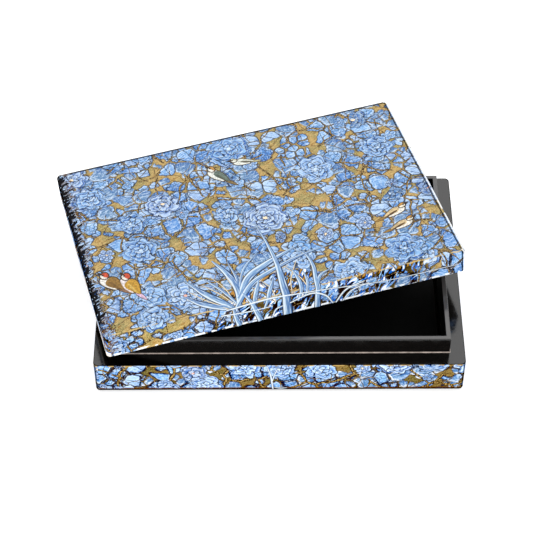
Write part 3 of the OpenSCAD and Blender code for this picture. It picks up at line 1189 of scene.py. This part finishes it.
def blade_paint():
    """Paint of the long leaves: pale blue grey, white along one edge and inked outside."""
    graph = MaterialGraph("blade_paint")
    share, along, _ = graph.split(graph.paint_map())
    place = graph.object_place()
    side = abs(share)
    brush = graph.noise(place, 2.2 * MM, detail=3)
    streak = graph.node("CombineXYZ", X=share * 1.6, Y=along * 2.5)
    fibre = graph.noise(streak, 1 / 2.0, detail=3)
    colour = graph.mix(share.step(-0.7, 0.7), linear(152, 186, 216), linear(92, 132, 182))
    cloud = graph.noise(place, 22 * MM)
    colour = colour.painted(cloud.step(0.48, 0.6, 0, 0.5), linear(58, 96, 156))
    colour = marked(colour, fibre, (linear(208, 226, 240), 0.5, 0.64, 0.85),
                    (linear(44, 78, 132), 0.46, 0.34, 0.85))
    colour = colour.painted(share.step(-0.3, -0.5, 0, 0.8), linear(222, 234, 244))
    colour = colour.painted(side.step(0.72, 0.82, 0, 0.94), INK)
    return graph.finish(Base_Color=colour, Roughness=brush.step(0.3, 0.7, 0.3, 0.42),
                        Specular_IOR_Level=0.1)


def stem_paint(name, light, shade):
    """Paint of thin stems: light, with a shade along one edge, inked outside."""
    graph = MaterialGraph(name)
    share = graph.split(graph.paint_map())[0]
    brush = graph.noise(graph.object_place(), 1.5 * MM)
    colour = graph.mix(share.step(0.0, 0.6), light, shade)
    colour = colour.painted(brush.step(0.52, 0.66, 0, 0.4), shade)
    colour = colour.painted(abs(share).step(0.66, 0.8, 0, 0.9), INK)
    return graph.finish(Base_Color=colour, Roughness=brush.step(0.3, 0.7, 0.32, 0.44),
                        Specular_IOR_Level=0.1)


# Long leaves of the spray at the lid's front, each as points along it: (u, v, width) in mm on the
# unfolded lid, where the front arris lies at v = -85.5
LEAVES = [
    [(-38, -87, 2.8), (-45, -79, 6.0), (-53, -69, 5.4), (-63, -53, 0.8)],
    [(-36, -88, 2.8), (-47, -84, 5.6), (-58, -77, 5.0), (-68, -66, 0.8)],
    [(-34, -86, 1.8), (-41, -70, 2.6), (-51, -54, 0.7)],
    [(-32, -80, 1.6), (-29, -62, 2.4), (-31, -44, 0.6)],
    [(-30, -72, 1.6), (-22, -54, 2.2), (-9, -41, 0.6)],
    [(-34, -88, 3.5), (-31, -72, 5.8), (-34, -55, 5.2), (-41, -39, 1.0)],
    [(-33, -80, 2.8), (-21, -63, 6.6), (-6, -54, 5.6), (20, -43, 0.8)],
    [(-26, -93, 1.6), (-20, -79, 3.8), (-14, -65, 0.6)],
    [(-17, -95, 1.6), (-11, -81, 3.8), (-4, -67, 0.6)],
    [(7, -95, 1.6), (11, -80, 3.2), (9, -63, 0.6)],
    [(12, -92, 1.2), (16, -80, 2.4), (16, -68, 0.5)],
    [(-36, -88, 3.0), (-22, -71, 4.8), (-8, -63, 4.2), (18, -54, 2.6), (40, -50, 0.6)],
    [(21, -86, 3.0), (26, -77, 2.6), (34, -73, 0.6)],
    [(20, -105, 4.8), (21, -90, 4.2), (22, -80, 3.8), (24, -66, 3.0), (22, -53, 1.8), (16, -47, 0.6)],
    [(-35, -105, 4.2), (-37, -95, 3.6), (-38, -88, 1.2)],
    [(-20, -105, 4.8), (-24, -90, 4.0), (-29, -76, 1.0)],
    [(-1, -105, 7.6), (-1, -84, 6.4), (1, -58, 4.4), (0, -35, 2.2), (-3, -12, 0.6)],
]
# Thin white stems and lines, in the same way
STEMS = [
    [(-47, -92, 1.6), (-28, -94, 1.5), (-11, -94, 0.9)],
    [(-43, -88, 1.4), (-10, -87, 1.5), (24, -90, 1.2)],
    [(24, -90, 1.1), (70, -96, 0.9), (122, -97, 0.6)],
    [(1, -95, 1.2), (16, -91, 1.9), (26, -96, 1.8), (31, -105, 1.2)],
    [(33, -105, 1.4), (41, -95, 2.0), (54, -91, 1.0)],
    [(38, -105, 1.2), (45, -97, 1.7), (57, -94, 0.9)],
    [(-12, -105, 1.1), (-9, -98, 1.6), (-4, -96, 0.9)],
]
# Thin cream fibres between the leaves, in the same way
FIBRES = [
    [(-37, -84, 0.6), (-43, -73, 1.0), (-53, -60, 0.5)],
    [(-36, -82, 0.6), (-39, -68, 1.0), (-46, -54, 0.5)],
    [(-40, -88, 0.6), (-53, -80, 1.0), (-66, -70, 0.5)],
    [(-42, -86, 0.6), (-54, -75, 1.0), (-64, -62, 0.5)],
    [(-31, -82, 0.6), (-34, -66, 0.9), (-37, -50, 0.4)],
    [(-28, -78, 0.6), (-17, -62, 1.0), (0, -52, 0.5)],
    [(-24, -80, 0.6), (-12, -67, 1.0), (8, -60, 0.5)],
    [(3, -88, 0.6), (6, -74, 1.0), (14, -58, 0.5)],
    [(15, -90, 0.6), (13, -76, 1.0), (5, -60, 0.5)],
    [(-9, -92, 0.6), (-9, -79, 1.0), (-14, -68, 0.4)],
]
# Foot of the spray on the base's front wall: (u, v, width) in mm, where v runs up from the table
BASE_STEMS = [
    [(-8.5, 27, 0.8), (-6.2, 17, 1.5), (-5.2, 8, 1.7), (-4.6, 2, 1.4)],
    [(-0.8, 26, 0.6), (-3.2, 19, 1.1), (-5.0, 11, 1.2)],
    [(-3.4, 3.4, 0.9), (1.0, 2.6, 1.3), (5.0, 3.2, 0.6)],
]


def raised_strokes(name, lines, rise, rise_step, material, surface=on_lid):
    """A piece with one raised stroke for each line, each a little higher than the one before."""
    made = bmesh.new()
    paint = made.loops.layers.uv.new("Paint")
    for number, line in enumerate(lines):
        curve = flowing_line(line, STROKE_STEP)
        spine = [at.xy for at in curve]
        widths = [max(at.z, NARROWEST) for at in curve]
        stroke(made, paint, spine, widths, rise + rise_step * number, surface)
    piece = finish_mesh(name, made, [material])
    if surface == on_lid:
        piece.data.transform(LID)
        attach(piece, "lid")
    else:
        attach(piece, "base")


def leaf_spray():
    """Fan of long leaves that springs from the lid's front edge, its stems and fibres, and its foot below."""
    stem = stem_paint("stem_paint", linear(232, 238, 240), linear(132, 166, 202))
    fibre = stem_paint("fibre_paint", linear(238, 222, 190), linear(190, 168, 128))
    raised_strokes("spray_fibres", FIBRES, 0.1 * MM, 0.005 * MM, fibre)
    raised_strokes("leaf_spray", LEAVES, 0.14 * MM, 0.012 * MM, blade_paint())
    raised_strokes("spray_stems", STEMS, 0.34 * MM, 0.01 * MM, stem)
    raised_strokes("base_stems", BASE_STEMS, 0.3 * MM, 0.01 * MM, stem, on_base)


# Section of a dab of paint: shares of its outline, from its edge inwards, and of its height there
DAB_SECTION = ((1, 0.4), (0.93, 0.7), (0.75, 0.9), (0.4, 1))


def centre(outline):
    """Middle of an outline's points."""
    return sum(outline, Vector((0, 0))) / len(outline)


def dab(made, paint, outline, rise, number):
    """A raised dab of paint inside (u, v) points: domed above, flat below the paper, in material number."""
    middle = centre(outline)
    count = len(outline)
    rings = []
    for share, high in DAB_SECTION:
        places = [middle + (at - middle) * share for at in outline]
        rings.append([made.verts.new(on_lid(*at, rise * high)) for at in places])
    peak = made.verts.new(on_lid(*middle, rise))
    foot = [made.verts.new(on_lid(*at, -SUNK)) for at in outline]
    shares = [share for share, _ in DAB_SECTION]

    def face(corners, corner_shares):
        new = made.faces.new(corners)
        new.material_index = number
        for corner, share in zip(new.loops, corner_shares):
            corner[paint].uv = (share, 0.5)

    for i in range(count):
        j = (i + 1) % count
        for outer, inner, far, near in zip(rings, rings[1:], shares, shares[1:]):
            face((outer[i], outer[j], inner[j], inner[i]), (far, far, near, near))
        face((rings[-1][i], rings[-1][j], peak), (shares[-1], shares[-1], 0))
        face((foot[j], foot[i], rings[0][i], rings[0][j]), (1, 1, 1, 1))
    face(foot[::-1], [1] * count)


def dab_paint(name, colour, shade):
    """Paint of one tone of the birds: brushed from colour to shade and inked at its edge."""
    graph = MaterialGraph(name)
    share = graph.split(graph.paint_map())[0]
    brush = graph.noise(graph.object_place(), 1.3 * MM, detail=3)
    mixed = graph.mix(brush.step(0.35, 0.65), colour, shade)
    mixed = mixed.painted(share.step(0.86, 0.97, 0, 0.8), UMBER)
    return graph.finish(Base_Color=mixed, Roughness=brush.step(0.3, 0.7, 0.32, 0.44),
                        Specular_IOR_Level=0.15)


DROP_POINTS = 24


def drop(middle, length, width, lean, point):
    """Outline of a drop: round in front, drawn to a point behind."""
    turn = Matrix.Rotation(math.radians(lean), 2)
    found = []
    for i in range(DROP_POINTS):
        angle = FULL_TURN * i / DROP_POINTS
        x = length / 2 * math.cos(angle)
        y = width / 2 * math.sin(angle) * (1 + point * math.cos(angle))
        found.append(turn @ Vector((x, y)) + Vector(middle))
    return found


# Parts of a perched bird that looks along +x, in mm: tone, then middle, length, width, lean and point
# of a drop
BIRD = [
    ("tail", (-10.6, 0.6), 9.5, 2.6, -6, 0.3), ("breast", (-0.4, 0.0), 13.5, 7.4, 12, 0.45),
    ("wing", (-3.2, 1.5), 13.5, 5.8, 4, 0.62), ("edge", (-3.6, 0.4), 10.5, 2.0, 4, 0.4),
    ("head", (5.4, 2.6), 5.2, 4.8, 20, 0.1), ("cap", (5.5, 3.9), 5.2, 3.0, 14, 0.25),
    ("beak", (8.9, 2.8), 2.8, 1.1, -172, 0.8), ("beak", (6.6, 2.9), 0.9, 0.9, 0, 0.0),
]
# Birds on the lid: middle on the unfolded lid in mm, heading in degrees, size, looks left and kind
BIRDS = [
    (-113, -37, -52, 1.3, True, "robin"), (-101, -43, -66, 1.35, True, "finch"),
    (-16, 47, -54, 1.3, True, "dove"), (5, 55, -13, 1.0, True, "pale"),
    (96, -47, 17, 1.15, False, "cream"), (95, -33, 21, 1.2, False, "cream"),
]
# Tones of each kind's parts
TONES = {
    "robin": {"tail": (150, 112, 84), "breast": (244, 240, 232), "wing": (152, 114, 50),
              "edge": (126, 92, 40), "head": (244, 238, 228), "cap": (214, 84, 52)},
    "finch": {"tail": (220, 186, 212), "breast": (236, 226, 226), "wing": (202, 154, 52),
              "edge": (216, 180, 92), "head": (244, 238, 228), "cap": (214, 84, 52)},
    "pale": {"tail": (190, 182, 142), "breast": (240, 242, 232), "wing": (222, 226, 216),
             "edge": (92, 88, 66), "head": (238, 238, 226), "cap": (206, 204, 178)},
    "dove": {"tail": (134, 112, 70), "breast": (240, 242, 234), "wing": (104, 120, 110),
             "edge": (84, 94, 80), "head": (238, 236, 226), "cap": (190, 140, 74)},
    "cream": {"tail": (160, 124, 60), "breast": (248, 244, 232), "wing": (222, 196, 148),
              "edge": (92, 66, 32), "head": (246, 238, 216), "cap": (200, 148, 70)},
}
BEAK_TONE = (40, 32, 26)
# Share of a tone's brightness that is left in its shade
SHADE = 0.78
# How broad each kind's wing and cap are, and how slim the whole bird is
BROAD = {"robin": 1.35, "finch": 1.35, "dove": 1.0, "pale": 0.9, "cream": 1.0}
SLIM = {"robin": 0.9, "finch": 0.88, "dove": 0.82, "pale": 0.85, "cream": 0.74}
# Rise of a bird's first part, of each further one and of its colour over its ink, and the ink's margin, in mm
BIRD_RISE = 0.08
PART_RISE = 0.03
COLOUR_RISE = 0.02
INK_MARGIN = 0.8


def bird_materials():
    """Materials of the birds, and the number of each kind's tones among them. The beak's is the first."""
    materials = [dab_paint("bird_beak", linear(*BEAK_TONE), UMBER)]
    numbers = {}
    for kind, tones in TONES.items():
        for tone, rgb in tones.items():
            numbers[kind, tone] = len(materials)
            shade = linear(*(value * SHADE for value in rgb))
            materials.append(dab_paint(f"bird_{kind}_{tone}", linear(*rgb), shade))
    return materials, numbers


def painted_birds():
    """Small birds perched among the flowers."""
    made = bmesh.new()
    paint = made.loops.layers.uv.new("Paint")
    materials, numbers = bird_materials()
    for u, v, heading, size, looks_left, kind in BIRDS:
        turn = Matrix.Rotation(math.radians(heading), 2)
        for level, (tone, middle, length, width, lean, point) in enumerate(BIRD):
            outline = []
            broad = BROAD[kind] if tone in ("wing", "cap") else 1
            for at in drop(middle, length, width * broad, lean, point):
                at.y *= SLIM[kind]
                at = turn @ (Vector((-at.x, at.y)) if looks_left else at)
                outline.append((at * size + Vector((u, v))) * MM)
            if looks_left:
                outline.reverse()
            rise = (BIRD_RISE + PART_RISE * level) * MM
            middle_at = centre(outline)
            grown = [at + (at - middle_at).normalized() * INK_MARGIN / 2 * MM for at in outline]
            dab(made, paint, grown, rise, 0)
            dab(made, paint, outline, rise + COLOUR_RISE * MM, numbers.get((kind, tone), 0))
    piece = finish_mesh("painted_birds", made, materials)
    piece.data.transform(LID)
    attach(piece, "lid")


BEAD_STEPS = (30, 20)


def foot_bead(name, low, high, height, size, outside, material):
    """Lacquer drawn up into the corner at the foot of the lip, around its outside or its inside."""
    sign = -1 if outside else 1
    loop = Loop(high.x - low.x, high.y - low.y, Loop.SMALLEST_CORNER, *BEAD_STEPS)
    hollow = arc((sign * size, height + size), size, 270, 360 if outside else 180, ARRIS_STEPS)
    back = -sign * SUNK
    stations = hollow + [(back, height + size), (back, height - SUNK), (sign * size, height - SUNK)]
    made = bmesh.new()
    rings, _ = sweep(made, loop, stations)
    join_rings(made, rings[-1], rings[0])
    piece = finish_mesh(name, made, [material])
    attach(piece, "base")


FLOOR_REACH = 3
FLOOR_STEPS = 4
FLOOR_GAP = 0.3 * MM


def floor():
    """Plain white table top."""
    graph = MaterialGraph("studio_white")
    tone = graph.noise(graph.object_place(), 0.4)
    material = graph.finish(Base_Color=graph.mix(tone, linear(246, 246, 246), linear(250, 250, 250)),
                            Roughness=0.9, Specular_IOR_Level=0.1,
                            Emission_Color=WHITE, Emission_Strength=0.38)
    made = bmesh.new()
    bmesh.ops.create_grid(made, x_segments=FLOOR_STEPS, y_segments=FLOOR_STEPS, size=FLOOR_REACH)
    plane = finish_mesh("studio_floor", made, [material])
    plane.location.z = BASE_LOW.z - FLOOR_GAP


def softbox(name, place, width, height, power):
    """A soft rectangular light that faces the box."""
    light = bpy.data.lights.new(name, "AREA")
    light.shape = "RECTANGLE"
    light.size = width
    light.size_y = height
    light.energy = power
    lamp = bpy.data.objects.new(name, light)
    lamp.location = place
    lamp.rotation_euler = (-Vector(place)).to_track_quat("-Z", "Y").to_euler()
    bpy.context.scene.collection.objects.link(lamp)


def photo_camera():
    """The photograph's camera."""
    camera = bpy.data.cameras.new("photo_camera")
    camera.lens = CAMERA_LENS
    camera.sensor_width = CAMERA_SENSOR
    camera.clip_start, camera.clip_end = CAMERA_SIGHT
    holder = bpy.data.objects.new("photo_camera", camera)
    tilt = Matrix.Rotation(QUARTER_TURN - CAMERA_DOWN, 4, "X") @ Matrix.Rotation(CAMERA_ROLL, 4, "Z")
    holder.matrix_world = Matrix.Translation(CAMERA_PLACE) @ tilt
    bpy.context.scene.collection.objects.link(holder)
    bpy.context.scene.camera = holder


SURROUND_STRENGTH = 0.87


def studio():
    """White surround, soft lights and the photograph's camera."""
    world = bpy.data.worlds.new("studio_surround")
    world.use_nodes = True
    surround = world.node_tree.nodes["Background"]
    surround.inputs["Color"].default_value = WHITE
    surround.inputs["Strength"].default_value = SURROUND_STRENGTH
    bpy.context.scene.world = world
    softbox("back_softbox", place=(0.1, 1.05, 1.1), width=2.0, height=1.0, power=11)
    softbox("front_softbox", place=(-0.3, -1.5, 1.0), width=1.8, height=1.2, power=10.5)
    bpy.context.scene.view_settings.view_transform = "Standard"
    photo_camera()


dress_cad_nodes()
lid_cover()
base_band()
leaf_spray()
painted_birds()
foot_bead("lip_foot_bead", LIP_LOW, LIP_HIGH, BASE_H, 0.6 * MM, True, SEAM)
foot_bead("inner_foot_bead", INSIDE_LOW, INSIDE_HIGH, FLOOR_Z, 1.2 * MM, False, LACQUER)
floor()
studio()
